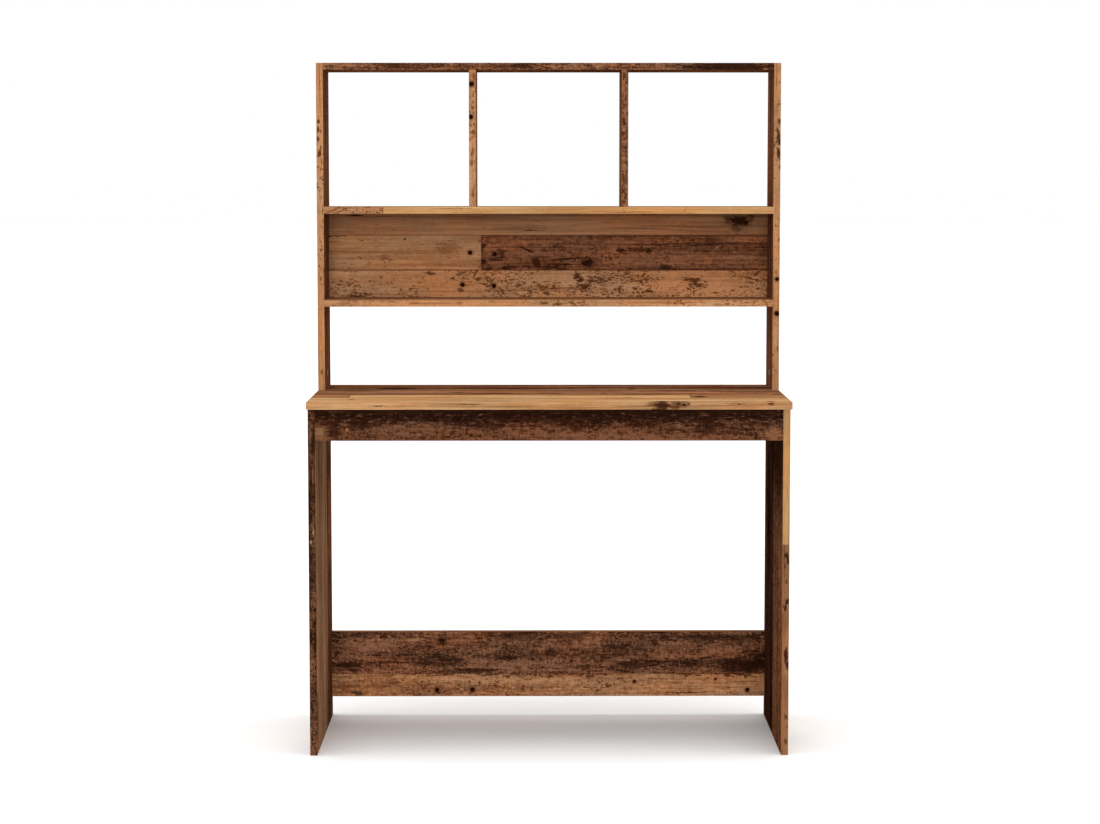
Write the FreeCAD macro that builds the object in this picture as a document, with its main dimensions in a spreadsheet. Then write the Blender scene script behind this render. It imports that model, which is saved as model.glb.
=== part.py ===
import FreeCAD, Part
import os
import Sketcher

# Student desk with an open hutch of shelves on its worktop, in millimetres.
# X runs from the left end to the right end, Y from the front edge to the back edge, Z up from the floor.
# The origin is on the floor under the middle of the worktop.

document = FreeCAD.newDocument("student_desk")
sheet = document.addObject("Spreadsheet::Sheet", "sizes")

# Driving dimensions: alias, value in millimetres or degrees, meaning
SIZES = [
    ("desk_width", 1020, "worktop and hutch from end to end"),
    ("desk_depth", 450, "worktop from front to back"),
    ("worktop_height", 760, "floor to the top of the worktop"),
    ("board", 15, "thickness of every board"),
    ("edging", 0.8, "thickness of the strips glued to the boards' edges"),
    ("front_overhang", 40, "worktop past the front of the base sides"),
    ("apron_height", 70, "front apron from top to bottom"),
    ("apron_setback", 2, "front apron behind the front of the base sides"),
    ("stretcher_height", 150, "rear stretcher from top to bottom"),
    ("stretcher_clearance", 45, "floor to the rear stretcher"),
    ("hutch_depth", 150, "hutch from front to back"),
    ("work_bay", 185, "clear height between the worktop and the lower shelf"),
    ("box_bay", 190, "clear height between the two shelves"),
    ("cubby_bay", 300, "clear height between the upper shelf and the hutch top"),
    ("cubby_width", 320, "clear width between the two dividers"),
    ("base_cam_inset", 75, "front edge of a base side to its front cam"),
    ("base_dowel_inset", 35, "front of a base side, and of the hutch, to the nearest dowel below the worktop"),
    ("hutch_pitch", 38, "connector to dowel across the depth of the hutch"),
    ("apron_pitch", 22, "connector to dowel up the end of the apron"),
    ("stretcher_pitch", 50, "connector to dowel up the end of the stretcher"),
    ("back_pitch", 50, "middle to dowel up the end of the hutch back"),
    ("rail_pitch", 300, "dowel to dowel along the apron and the hutch back"),
    ("drill_overrun", 1, "start of a drilling outside the board"),
    ("drill_spare", 1, "room at the end of a drilled hole"),
    ("hole_fit", 0.05, "gap between a fastener and its hole, all round"),
    ("dowel_diameter", 8, "wooden dowel"),
    ("dowel_length", 30, "wooden dowel"),
    ("dowel_chamfer", 1, "broken edge at a dowel's ends"),
    ("dowel_cover", 4, "board left behind a dowel hole in a face"),
    ("cam_bore", 15, "diameter of the hole that takes a cam"),
    ("cam_floor", 3, "board left behind a cam"),
    ("cam_setback", 34, "end of a board to the axis of its cam"),
    ("cam_recess", 0.2, "cam below the face of its board"),
    ("cam_under", 0.2, "gap below a cam"),
    ("cam_fit", 0.08, "running gap around a cam"),
    ("cam_lip", 1.85, "wall of a cam where it holds the bolt's head"),
    ("cam_throw", 0.4, "eccentricity of the hollow in a cam"),
    ("cam_play", 0.2, "clearance between a cam and a bolt"),
    ("cam_grip", 0.1, "clearance between a locked cam and the bolt's head"),
    ("cam_turn", 180, "turn of a cam from locked to open, in degrees"),
    ("cam_relief", 45, "slot of a cam past the locked place, in degrees"),
    ("cross_length", 8, "cross recess in a cam"),
    ("cross_width", 1.6, "cross recess in a cam"),
    ("cross_depth", 1.6, "cross recess in a cam"),
    ("bolt_thread", 6, "thread of a cam bolt"),
    ("bolt_cover", 4, "board left behind a cam bolt's thread"),
    ("bolt_chamfer", 1, "broken edge at the tip of a cam bolt"),
    ("bolt_shank", 7, "shank of a cam bolt"),
    ("bolt_neck", 5, "neck of a cam bolt"),
    ("bolt_head", 7, "head of a cam bolt"),
    ("bolt_head_length", 2.2, "cylindrical part of a cam bolt's head"),
    ("bolt_head_slope", 0.35, "length of the cone behind a cam bolt's head"),
    ("channel_play", 0.5, "gap around a cam bolt in the end of a board"),
    ("screw_length", 50, "divider screw"),
    ("screw_head", 10, "countersunk head of a divider screw"),
    ("screw_shank", 7, "shank of a divider screw"),
    ("screw_core", 5, "threaded stretch of a divider screw"),
    ("screw_tip", 4, "point of a divider screw"),
    ("socket_width", 4, "hexagon socket across its flats"),
    ("socket_depth", 3, "hexagon socket"),
]

for row, (alias, value, meaning) in enumerate(SIZES, start=1):
    sheet.set(f"A{row}", meaning)
    sheet.set(f"B{row}", str(value))
    sheet.setAlias(f"B{row}", alias)
document.recompute()

# Levels that several boards share, as expressions of the sheet
front = "(-sizes.desk_depth / 2)"
back = "(sizes.desk_depth / 2)"
base_front = f"({front} + sizes.front_overhang)"
apron_front = f"({base_front} + sizes.apron_setback)"
hutch_front = f"({back} - sizes.hutch_depth)"
hutch_middle = f"({back} - sizes.hutch_depth / 2)"
apron_middle = f"({apron_front} + sizes.board / 2)"
rear_front = f"({back} - sizes.board)"
rear_middle = f"({back} - sizes.board / 2)"
worktop_under = "(sizes.worktop_height - sizes.board)"
worktop_top = "sizes.worktop_height"
lower_under = f"({worktop_top} + sizes.work_bay)"
lower_top = f"({lower_under} + sizes.board)"
upper_under = f"({lower_top} + sizes.box_bay)"
upper_top = f"({upper_under} + sizes.board)"
roof_under = f"({upper_top} + sizes.cubby_bay)"
roof_top = f"({roof_under} + sizes.board)"
stretcher_top = "(sizes.stretcher_clearance + sizes.stretcher_height)"
half_width = "(sizes.desk_width / 2)"
half_clear = f"({half_width} - sizes.board)"
half_cubby = "(sizes.cubby_width / 2)"

AXES = "xyz"
ENDS = {"left": "-", "right": "+"}
INWARD = {"left": "+x", "right": "-x"}
OUTWARD = {"left": "-x", "right": "+x"}
BASE_DOWELS = 3

nodes = []
drillings = {}
fasteners = {"dowels": [], "cam_bolts": [], "through_bolts": [], "divider_screws": []}


# Directions, points and placements

def vector(direction):
    parts = [0, 0, 0]
    parts[AXES.index(direction[1])] = 1 if direction[0] == "+" else -1
    return FreeCAD.Vector(*parts)


def opposite(direction):
    return ("-" if direction[0] == "+" else "+") + direction[1]


def moved(point, direction, distance):
    shifted = list(point)
    axis = AXES.index(direction[1])
    shifted[axis] = f"({shifted[axis]} {direction[0]} ({distance}))"
    return tuple(shifted)


def turn_to(direction):
    return FreeCAD.Rotation(FreeCAD.Vector(0, 0, 1), vector(direction))


def place(item, point, rotation):
    item.Placement = FreeCAD.Placement(FreeCAD.Vector(), rotation)
    for axis, text in zip(AXES, point):
        item.setExpression(f"Placement.Base.{axis}", text)


def box(name, low, high):
    item = document.addObject("Part::Box", name)
    for size, start, end in zip(("Length", "Width", "Height"), low, high):
        item.setExpression(size, f"{end} - {start}")
    place(item, low, FreeCAD.Rotation())
    return item


def round_bar(name, point, rotation, diameter, length):
    item = document.addObject("Part::Cylinder", name)
    item.setExpression("Radius", f"({diameter}) / 2")
    item.setExpression("Height", length)
    place(item, point, rotation)
    return item


def joined(kind, name, items):
    item = document.addObject(kind, name)
    setattr(item, "Shapes" if kind == "Part::MultiFuse" else "Links", items)
    return item


def cut(name, base, tools):
    item = document.addObject("Part::Cut", name)
    item.Base = base
    item.Tool = joined("Part::MultiFuse", f"{name}_cuts", tools)
    return item


# Boards: a sawn core with its edging strips, drilled at the end for every fitting

FACES = {"left": (0, 0), "right": (0, 1), "front": (1, 0), "back": (1, 1), "bottom": (2, 0), "top": (2, 1)}
boards = {}


def add_board(name, low, high, edged):
    corners = [list(low), list(high)]
    strips = []
    for face in edged:
        axis, end = FACES[face]
        strip = [list(corners[0]), list(corners[1])]
        inner = f"({corners[end][axis]} {'-' if end else '+'} sizes.edging)"
        strip[1 - end][axis] = inner
        corners[end][axis] = inner
        strips.append(box(f"{name}_{face}_strip", *strip))
    boards[name] = box(f"{name}_core", *corners)
    drillings[name] = []
    if strips:
        nodes.append(joined("Part::Compound", f"{name}_edging", strips))


def end_span(end):
    if end == "left":
        return f"(-{half_width})", f"(-{half_clear})"
    return half_clear, half_width


def divider_span(end):
    if end == "left":
        return f"(-{half_cubby} - sizes.board)", f"(-{half_cubby})"
    return half_cubby, f"({half_cubby} + sizes.board)"


def add_boards():
    clear_left = f"(-{half_clear})"
    all_round = ["front", "back", "left", "right"]
    add_board("worktop", (f"(-{half_width})", front, worktop_under), (half_width, back, worktop_top), all_round)
    add_board("front_apron", (clear_left, apron_front, f"({worktop_under} - sizes.apron_height)"),
              (half_clear, f"({apron_front} + sizes.board)", worktop_under), ["bottom"])
    add_board("rear_stretcher", (clear_left, rear_front, "sizes.stretcher_clearance"),
              (half_clear, back, stretcher_top), ["bottom", "top"])
    for name, low, high in (("hutch_top", roof_under, roof_top), ("upper_shelf", upper_under, upper_top),
                            ("lower_shelf", lower_under, lower_top)):
        add_board(name, (clear_left, hutch_front, low), (half_clear, back, high), ["front", "back"])
    add_board("hutch_back", (clear_left, rear_front, lower_top), (half_clear, back, upper_under), [])
    for end in ENDS:
        low, high = end_span(end)
        add_board(f"{end}_base_side", (low, base_front, "0"), (high, back, worktop_under), ["front", "back"])
        add_board(f"{end}_hutch_side", (low, hutch_front, worktop_top), (high, back, roof_top),
                  ["front", "back", "top"])
        low, high = divider_span(end)
        add_board(f"{end}_divider", (low, hutch_front, upper_top), (high, back, roof_under), ["front", "back"])


def drill(board, point, direction, diameter, depth):
    start = moved(point, opposite(direction), "sizes.drill_overrun")
    length = f"{depth} + sizes.drill_overrun"
    drillings[board].append(round_bar(f"{board}_hole", start, turn_to(direction), diameter, length))


# Turned fasteners: one revolved profile each, placed again wherever the fastener is used

def revolved(name, outline):
    body = document.addObject("PartDesign::Body", name)
    plane = next(item for item in body.Origin.OriginFeatures if item.Role == "XZ_Plane")
    sketch = body.newObject("Sketcher::SketchObject", f"{name}_profile")
    sketch.AttachmentSupport = [(plane, "")]
    sketch.MapMode = "FlatFace"
    corners = []
    for length, radius in outline:
        corners.append(FreeCAD.Vector(body.evalExpression(radius), body.evalExpression(length), 0))
    for index, corner in enumerate(corners):
        sketch.addGeometry(Part.LineSegment(corner, corners[(index + 1) % len(corners)]), False)
    for index, (length, radius) in enumerate(outline):
        sketch.addConstraint(Sketcher.Constraint("Coincident", index - 1 if index else len(corners) - 1, 2, index, 1))
        for kind, axis, text, value in (("DistanceX", -2, radius, corners[index].x),
                                        ("DistanceY", -1, length, corners[index].y)):
            if text == "0":
                sketch.addConstraint(Sketcher.Constraint("PointOnObject", index, 1, axis))
                continue
            number = sketch.addConstraint(Sketcher.Constraint(kind, -1, 1, index, 1, value))
            sketch.setExpression(f"Constraints[{number}]", text)
    turned = body.newObject("PartDesign::Revolution", f"{name}_turned")
    turned.Profile = sketch
    turned.ReferenceAxis = (sketch, ["V_Axis"])
    turned.Angle = 360
    body.Tip = turned
    return body


def dowel_outline():
    radius = "sizes.dowel_diameter / 2"
    end = f"{radius} - sizes.dowel_chamfer"
    return [("0", "0"), ("0", end), ("sizes.dowel_chamfer", radius),
            ("sizes.dowel_length - sizes.dowel_chamfer", radius), ("sizes.dowel_length", end),
            ("sizes.dowel_length", "0")]


# A cam is a hollow disc. Its hollow is eccentric, so that its lip closes on the head of the bolt as it turns.

cam_radius = "(sizes.cam_bore / 2 - sizes.cam_fit)"
cam_height = "(sizes.board - sizes.cam_floor - sizes.cam_recess - sizes.cam_under)"
bolt_line = "(sizes.board / 2 - sizes.cam_recess)"
slot_height = "(sizes.bolt_neck + 2 * sizes.cam_play)"
mouth_width = "(sizes.bolt_head + 2 * sizes.cam_play)"
lip_radius = f"({cam_radius} - sizes.cam_lip)"
held_radius = f"({lip_radius} - sizes.cam_grip)"
rim_place = f"sqrt({held_radius} ^ 2 - (sizes.bolt_head / 2) ^ 2 + ({slot_height} / 2) ^ 2)"
channel = "max(sizes.bolt_shank; sizes.bolt_head) + 2 * sizes.channel_play"
thread_grip = "(sizes.board - sizes.bolt_cover - sizes.drill_spare)"


def cam_master():
    upright = FreeCAD.Rotation()
    below = f"(-{cam_height} - sizes.drill_overrun)"
    hollow_roof = f"(-{bolt_line} + {mouth_width} / 2)"
    outside = f"({cam_radius} + sizes.drill_overrun)"
    blank = round_bar("cam_blank", ("0", "0", f"-{cam_height}"), upright, f"2 * {cam_radius}", cam_height)
    hollow = round_bar("cam_hollow", ("-sizes.cam_throw", "0", below), upright,
                       f"2 * ({lip_radius} + sizes.cam_throw)", f"{hollow_roof} - {below}")
    mouth = box("cam_mouth", (f"(-{outside})", f"(-{mouth_width} / 2)", below),
                ("0", f"({mouth_width} / 2)", hollow_roof))
    slot = round_bar("cam_slot", ("0", "0", f"-{bolt_line} - {slot_height} / 2"),
                     FreeCAD.Rotation(FreeCAD.Vector(0, 0, 1), 180), f"2 * {outside}", slot_height)
    slot.setExpression("Angle", "sizes.cam_turn + sizes.cam_relief")
    cross = []
    for name, along, across in (("cam_cross_long", "length", "width"), ("cam_cross_wide", "width", "length")):
        reach = (f"(sizes.cross_{along} / 2)", f"(sizes.cross_{across} / 2)")
        cross.append(box(name, (f"(-{reach[0]})", f"(-{reach[1]})", "(-sizes.cross_depth)"),
                         (*reach, "sizes.drill_overrun")))
    return cut("cam", blank, [hollow, mouth, slot, *cross])


def head_outline(root):
    axis = f"{root} + sizes.cam_setback"
    shoulder = f"{axis} - sizes.cam_bore / 2 - sizes.cam_play"
    rim = f"{axis} - {rim_place}"
    return [(shoulder, "sizes.bolt_shank / 2"), (shoulder, "sizes.bolt_neck / 2"),
            (f"{rim} - sizes.bolt_head_slope", "sizes.bolt_neck / 2"), (rim, "sizes.bolt_head / 2"),
            (f"{rim} + sizes.bolt_head_length", "sizes.bolt_head / 2"), (f"{rim} + sizes.bolt_head_length", "0")]


def cam_bolt_outline():
    thread = "sizes.bolt_thread / 2"
    return [("0", "0"), ("0", f"{thread} - sizes.bolt_chamfer"), ("sizes.bolt_chamfer", thread),
            (thread_grip, thread), (thread_grip, "sizes.bolt_shank / 2"), *head_outline(thread_grip)]


def through_bolt_outline():
    upper = head_outline("sizes.cam_setback + sizes.board")
    whole = "2 * sizes.cam_setback + sizes.board"
    lower = [(f"{whole} - ({length})", radius) for length, radius in reversed(upper)]
    return lower + upper


def screw_outline():
    head = "sizes.screw_head / 2"
    shank = "sizes.screw_shank / 2"
    core = "sizes.screw_core / 2"
    return [("0", "0"), ("0", head), (f"{head} - {shank}", shank), ("sizes.board", shank), ("sizes.board", core),
            ("sizes.screw_length - sizes.screw_tip", core), ("sizes.screw_length", "0")]


def screw_master():
    blank = revolved("screw_blank", screw_outline())
    socket = document.addObject("Part::Prism", "screw_socket")
    socket.Polygon = 6
    socket.setExpression("Circumradius", "sizes.socket_width / sqrt(3)")
    socket.setExpression("Height", "sizes.socket_depth + sizes.drill_overrun")
    place(socket, ("0", "0", "-sizes.drill_overrun"), FreeCAD.Rotation())
    screw = document.addObject("Part::Cut", "divider_screw")
    screw.Base = blank
    screw.Tool = socket
    return screw


dowel_master = revolved("dowel", dowel_outline())
cam_bolt_master = revolved("cam_bolt", cam_bolt_outline())
through_bolt_master = revolved("through_bolt", through_bolt_outline())
divider_screw_master = screw_master()
turning_cam_master = cam_master()
document.recompute()


def copy_of(master, name, point, rotation):
    link = document.addObject("App::Link", name)
    link.LinkedObject = master
    place(link, point, rotation)
    return link


# Fittings: each one drills the boards that it joins and puts its fastener in the same place.
# A point lies where the end of one board meets the face of another, and "into" leads on into that face.

def add_dowel(point, into, end_board, face_board):
    hole = "sizes.dowel_diameter + 2 * sizes.hole_fit"
    in_face = "(sizes.board - sizes.dowel_cover - sizes.drill_spare)"
    in_end = f"(sizes.dowel_length - {in_face})"
    drill(face_board, point, into, hole, f"{in_face} + sizes.drill_spare")
    drill(end_board, point, opposite(into), hole, f"{in_end} + sizes.drill_spare")
    start = moved(point, opposite(into), in_end)
    fasteners["dowels"].append(copy_of(dowel_master, "dowel_copy", start, turn_to(into)))


def add_cam(name, point, into, end_board, faces):
    axis_point = moved(point, opposite(into), "sizes.cam_setback")
    drill(end_board, point, opposite(into), channel, "sizes.cam_setback")
    drill(end_board, moved(axis_point, faces, "sizes.board / 2"), opposite(faces), "sizes.cam_bore",
          "(sizes.board - sizes.cam_floor)")
    out = vector(faces)
    towards = vector(into)
    rotation = FreeCAD.Rotation(towards, out.cross(towards), out, "ZXY")
    nodes.append(copy_of(turning_cam_master, name, moved(axis_point, faces, bolt_line), rotation))


def add_cam_bolt(point, into, face_board):
    drill(face_board, point, into, "sizes.bolt_thread + 2 * sizes.hole_fit", f"{thread_grip} + sizes.drill_spare")
    start = moved(point, into, thread_grip)
    fasteners["cam_bolts"].append(copy_of(cam_bolt_master, "cam_bolt_copy", start, turn_to(opposite(into))))


def add_through_bolt(point, up, board):
    drill(board, point, up, channel, "sizes.board + sizes.drill_overrun")
    start = moved(point, opposite(up), "sizes.cam_setback")
    fasteners["through_bolts"].append(copy_of(through_bolt_master, "through_bolt_copy", start, turn_to(up)))


def add_screw(point, into, end_board, face_board):
    outside = moved(point, into, "sizes.board")
    inward = opposite(into)
    drill(face_board, outside, inward, "sizes.screw_shank + 2 * sizes.hole_fit", "sizes.board + sizes.drill_overrun")
    drill(end_board, point, inward, "sizes.screw_core + 2 * sizes.hole_fit",
          "sizes.screw_length - sizes.board + sizes.drill_spare")
    sink = document.addObject("Part::Cone", f"{face_board}_countersink")
    sink.setExpression("Radius1", "sizes.screw_head / 2 + sizes.hole_fit")
    sink.setExpression("Radius2", "sizes.screw_shank / 2 + sizes.hole_fit")
    sink.setExpression("Height", "(sizes.screw_head - sizes.screw_shank) / 2")
    place(sink, outside, turn_to(inward))
    drillings[face_board].append(sink)
    fasteners["divider_screws"].append(copy_of(divider_screw_master, "screw_copy", outside, turn_to(inward)))


def add_end_fittings(end):
    middle = f"({ENDS[end]}({half_width} - sizes.board / 2))"
    base = f"{end}_base_side"
    hutch = f"{end}_hutch_side"
    inward = INWARD[end]
    front_cam = (middle, f"({base_front} + sizes.base_cam_inset)", worktop_under)
    add_cam(f"{end}_base_front_cam", front_cam, "+z", base, inward)
    add_cam_bolt(front_cam, "+z", "worktop")
    rear_cam = (middle, hutch_middle, worktop_under)
    add_cam(f"{end}_base_rear_cam", rear_cam, "+z", base, inward)
    add_cam(f"{end}_hutch_foot_cam", (middle, hutch_middle, worktop_top), "-z", hutch, inward)
    add_through_bolt(rear_cam, "+z", "worktop")
    first = f"({base_front} + sizes.base_dowel_inset)"
    last = f"({hutch_front} - sizes.base_dowel_inset)"
    for row in range(BASE_DOWELS):
        depth = f"({first} + ({last} - {first}) * {row} / {BASE_DOWELS - 1})"
        add_dowel((middle, depth, worktop_under), "+z", base, "worktop")
    for way in ("-y", "+y"):
        foot = moved((middle, hutch_middle, worktop_top), way, "sizes.hutch_pitch")
        add_dowel(foot, "-z", hutch, "worktop")


def add_cross_fittings(board, panel, depth, height, spread, pitch, faces):
    for end in ENDS:
        point = (f"({ENDS[end]}{half_clear})", depth, height)
        add_cam(f"{end}_{board}_cam", point, OUTWARD[end], board, faces)
        add_cam_bolt(point, OUTWARD[end], f"{end}_{panel}")
        for way in ("-", "+"):
            add_dowel(moved(point, way + spread, pitch), OUTWARD[end], board, f"{end}_{panel}")


def add_divider_fittings(end):
    middle = f"({ENDS[end]}({half_cubby} + sizes.board / 2))"
    divider = f"{end}_divider"
    for height, into, board in ((roof_under, "+z", "hutch_top"), (upper_top, "-z", "upper_shelf")):
        point = (middle, hutch_middle, height)
        add_screw(point, into, divider, board)
        for way in ("-y", "+y"):
            add_dowel(moved(point, way, "sizes.hutch_pitch"), into, divider, board)


def add_rail_dowels(depth, height, into, end_board, face_board):
    for along in ("(-sizes.rail_pitch)", "0", "sizes.rail_pitch"):
        add_dowel((along, depth, height), into, end_board, face_board)


def add_back_dowels():
    middle = f"(({lower_top} + {upper_under}) / 2)"
    for end in ENDS:
        for way in ("-z", "+z"):
            point = moved((f"({ENDS[end]}{half_clear})", rear_middle, middle), way, "sizes.back_pitch")
            add_dowel(point, OUTWARD[end], "hutch_back", f"{end}_hutch_side")
    add_rail_dowels(rear_middle, upper_under, "+z", "hutch_back", "upper_shelf")
    add_rail_dowels(rear_middle, lower_top, "-z", "hutch_back", "lower_shelf")


def add_fittings():
    half_board = "sizes.board / 2"
    for end in ENDS:
        add_end_fittings(end)
        add_divider_fittings(end)
    add_cross_fittings("front_apron", "base_side", apron_middle, f"({worktop_under} - sizes.apron_height / 2)",
                       "z", "sizes.apron_pitch", "+y")
    add_cross_fittings("rear_stretcher", "base_side", rear_middle,
                       "(sizes.stretcher_clearance + sizes.stretcher_height / 2)", "z", "sizes.stretcher_pitch", "+y")
    add_cross_fittings("hutch_top", "hutch_side", hutch_middle, f"({roof_under} + {half_board})",
                       "y", "sizes.hutch_pitch", "+z")
    add_cross_fittings("upper_shelf", "hutch_side", hutch_middle, f"({upper_under} + {half_board})",
                       "y", "sizes.hutch_pitch", "-z")
    add_cross_fittings("lower_shelf", "hutch_side", hutch_middle, f"({lower_under} + {half_board})",
                       "y", "sizes.hutch_pitch", "-z")
    add_rail_dowels(apron_middle, worktop_under, "+z", "front_apron", "worktop")
    add_back_dowels()


add_boards()
add_fittings()
for board_name, core in boards.items():
    nodes.append(cut(board_name, core, drillings[board_name]))
for group, copies in fasteners.items():
    nodes.append(joined("Part::Compound", group, copies))
document.recompute()

# Nothing is written unless every object is sound
for item in document.Objects:
    if "Invalid" in item.State or "Error" in item.State:
        raise RuntimeError(f"{item.Label} failed: {item.State}")
shapes = {item.Label: Part.getShape(item) for item in nodes}
for label, shape in shapes.items():
    if shape.isNull() or not shape.isValid():
        raise RuntimeError(f"{label} has no valid shape")

os.makedirs("parts", exist_ok=True)
for label, shape in shapes.items():
    shape.exportStep(os.path.join("parts", f"{label}.step"))
    print(label, len(shape.Solids), "solids", round(shape.Volume), "cubic millimetres")
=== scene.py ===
# %% [markdown]
# A student desk with a hutch, in an old-plank print. The real desk is flat-pack furniture: chipboard panels
# wrapped in paper that is printed with a picture of reclaimed planks, closed at the cut edges by thin
# strips of the same print, and held by cam locks and dowels. The CAD frame already has every panel, strip
# and fitting at its true size, so no shape is made again here. The work of this script is the finish: what
# is printed on each panel, and how light falls on it.

# %% Load the frame
import math

import bpy
from mathutils import Euler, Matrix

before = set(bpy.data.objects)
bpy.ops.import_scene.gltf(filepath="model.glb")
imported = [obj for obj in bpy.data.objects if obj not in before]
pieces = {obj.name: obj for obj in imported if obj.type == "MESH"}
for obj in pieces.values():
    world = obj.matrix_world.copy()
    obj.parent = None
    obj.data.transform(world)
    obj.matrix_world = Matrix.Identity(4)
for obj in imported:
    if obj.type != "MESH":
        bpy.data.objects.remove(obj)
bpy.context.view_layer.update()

# %% [markdown]
# Camera. The photograph was taken from straight in front, from a little over five metres away, with upright
# lines that stay upright. That could be copied with a large lens shift, but the shift stays on in every
# other view and would push the desk out of the picture. A camera that leans down by under five degrees,
# with a small shift, puts every corner within a few pixels of its place.

# %% Camera
LEAN_DOWN, TURN_RIGHT = 0.0813, 0.0053
EYE_PLACE = (-0.0261, -5.4161, 1.2324)
eye = bpy.data.cameras.new("eye")
eye.lens = 81.457
eye.sensor_width = 36.0
eye.shift_y = -0.03
camera = bpy.data.objects.new("camera", eye)
camera.location = EYE_PLACE
camera.rotation_euler = (math.pi / 2 - LEAN_DOWN, 0.0, -TURN_RIGHT)
bpy.context.scene.collection.objects.link(camera)
bpy.context.scene.camera = camera
bpy.context.scene.view_settings.view_transform = "Standard"
print("camera", [round(x, 3) for x in camera.location])

# %% [markdown]
# Nodes are easier to read in code when one call makes a node, sets it and wires it. A value that is a
# socket is linked, and anything else is written into the socket. The nodes are set out in rows, so that the
# tree can also be read in the editor. Each small helper below stands for one node, and gives back its
# output. A Mix node keeps its sockets for numbers and for colours side by side under the same names, so
# those are picked by their place in the row.

# %% One node at a time
NODES_PER_ROW = 12
NODE_STEP = (190, -320)


def add(tree, kind, wires=None, **settings):
    made = tree.nodes.new(kind)
    row, column = divmod(len(tree.nodes), NODES_PER_ROW)
    made.location = (column * NODE_STEP[0], row * NODE_STEP[1])
    for key, value in settings.items():
        setattr(made, key, value)
    for key, value in (wires or {}).items():
        if isinstance(value, bpy.types.NodeSocket):
            tree.links.new(value, made.inputs[key])
        else:
            made.inputs[key].default_value = value
    return made


def number(tree, operation, *terms):
    return add(tree, "ShaderNodeMath", dict(enumerate(terms)), operation=operation).outputs[0]


def vector(tree, operation, *terms):
    made = add(tree, "ShaderNodeVectorMath", dict(enumerate(terms)), operation=operation)
    return made.outputs["Value" if operation == "LENGTH" else "Vector"]


def parts(tree, place):
    return add(tree, "ShaderNodeSeparateXYZ", {0: place}).outputs


def joined(tree, *terms):
    return add(tree, "ShaderNodeCombineXYZ", dict(enumerate(terms))).outputs[0]


def blend(tree, share, one, other):
    return add(tree, "ShaderNodeMix", {0: share, 6: one, 7: other}, data_type="RGBA").outputs[2]


def choose(tree, share, one, other):
    return add(tree, "ShaderNodeMix", {0: share, 2: one, 3: other}).outputs[0]


def ramp(tree, value, start, end, low=0.0, high=1.0):
    wires = {"Value": value, "From Min": start, "From Max": end, "To Min": low, "To Max": high}
    return add(tree, "ShaderNodeMapRange", wires, interpolation_type="SMOOTHSTEP").outputs[0]


print("node helpers are ready")

# %% [markdown]
# Old wood is mostly noise that is stretched along the grain. The three numbers of a stretch say how fast
# the noise changes in a metre along the grain, across it and through the panel. Noise is built on a lattice
# of cubes, and when the cubes lie in line with the panel, a strong stretch shows them as a woven check.
# Groups hold every effect that more than one panel uses. Tones are written as hex codes, and one function
# turns a code into the linear light that a socket wants.

# %% Noise, groups and tones
OFF_GRAIN = (0.55, 0.35, 0.62)


def stretched(tree, place, stretch):
    wires = {"Vector": place, "Rotation": OFF_GRAIN, "Scale": stretch}
    return add(tree, "ShaderNodeMapping", wires).outputs[0]


def noise(tree, place, stretch, detail=2.0, roughness=0.5):
    wires = {"Vector": stretched(tree, place, stretch), "Scale": 1.0}
    wires.update(Detail=detail, Roughness=roughness)
    return add(tree, "ShaderNodeTexNoise", wires).outputs[0]


def swing(tree, value, gain, by=1.0):
    centred = number(tree, "MULTIPLY_ADD", value, gain, -gain / 2)
    return number(tree, "MULTIPLY", centred, by)


def total(tree, *terms):
    result = terms[0]
    for term in terms[1:]:
        result = number(tree, "ADD", result, term)
    return result


def effect(name, inputs, outputs):
    tree = bpy.data.node_groups.new(name, "ShaderNodeTree")
    for side, sockets in (("INPUT", inputs), ("OUTPUT", outputs)):
        for label, kind in sockets.items():
            tree.interface.new_socket(label, in_out=side, socket_type="NodeSocket" + kind)
    source = tree.nodes.new("NodeGroupInput").outputs
    result = tree.nodes.new("NodeGroupOutput").inputs
    return tree, source, result


def place_effect(tree, group, wires):
    return add(tree, "ShaderNodeGroup", wires, node_tree=group).outputs


def tone(code):
    shares = [int(code[k:k + 2], 16) / 255 for k in (1, 3, 5)]
    linear = [s / 12.92 if s <= 0.04045 else ((s + 0.055) / 1.055) ** 2.4 for s in shares]
    return (*linear, 1.0)


print("a tan tone in linear light:", [round(x, 3) for x in tone("#a67652")[:3]])

# %% [markdown]
# Laying the planks. The print shows planks of different ages side by side. Each one is a box of space on
# the panel, so the plank group takes a box and a set of tones, and passes on the tones of the plank that a
# point lies in. Chained, each new plank lies over the earlier ones. A thin box reaches only one face of the
# panel, so the two faces can differ. The group also hands on how far the point is from the plank's own
# edge, which later gives the dark joint and the worn rim.

# %% Plank layout group
PLANK_VALUES = {
    "Light": "Color", "Deep": "Color", "Char": "Color",
    "Grain": "Float", "Worm": "Float", "Charring": "Float", "Mottle": "Float", "Seed": "Float",
}
lay_plank, given, handed = effect(
    "lay_plank",
    {"Place": "Vector", "Middle": "Vector", "Half": "Vector", "Rim": "Float",
     **{"Under " + label: kind for label, kind in PLANK_VALUES.items()}, **PLANK_VALUES},
    {"Rim": "Float", **PLANK_VALUES},
)
offset = vector(lay_plank, "ABSOLUTE", vector(lay_plank, "SUBTRACT", given["Place"], given["Middle"]))
inside = parts(lay_plank, vector(lay_plank, "SUBTRACT", given["Half"], offset))
to_rim = number(lay_plank, "MINIMUM", inside[0], inside[1])
covered = number(lay_plank, "GREATER_THAN", number(lay_plank, "MINIMUM", to_rim, inside[2]), 0.0)
lay_plank.links.new(choose(lay_plank, covered, given["Rim"], to_rim), handed["Rim"])
for label, kind in PLANK_VALUES.items():
    mixer = blend if kind == "Color" else choose
    lay_plank.links.new(mixer(lay_plank, covered, given["Under " + label], given[label]), handed[label])
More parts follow.
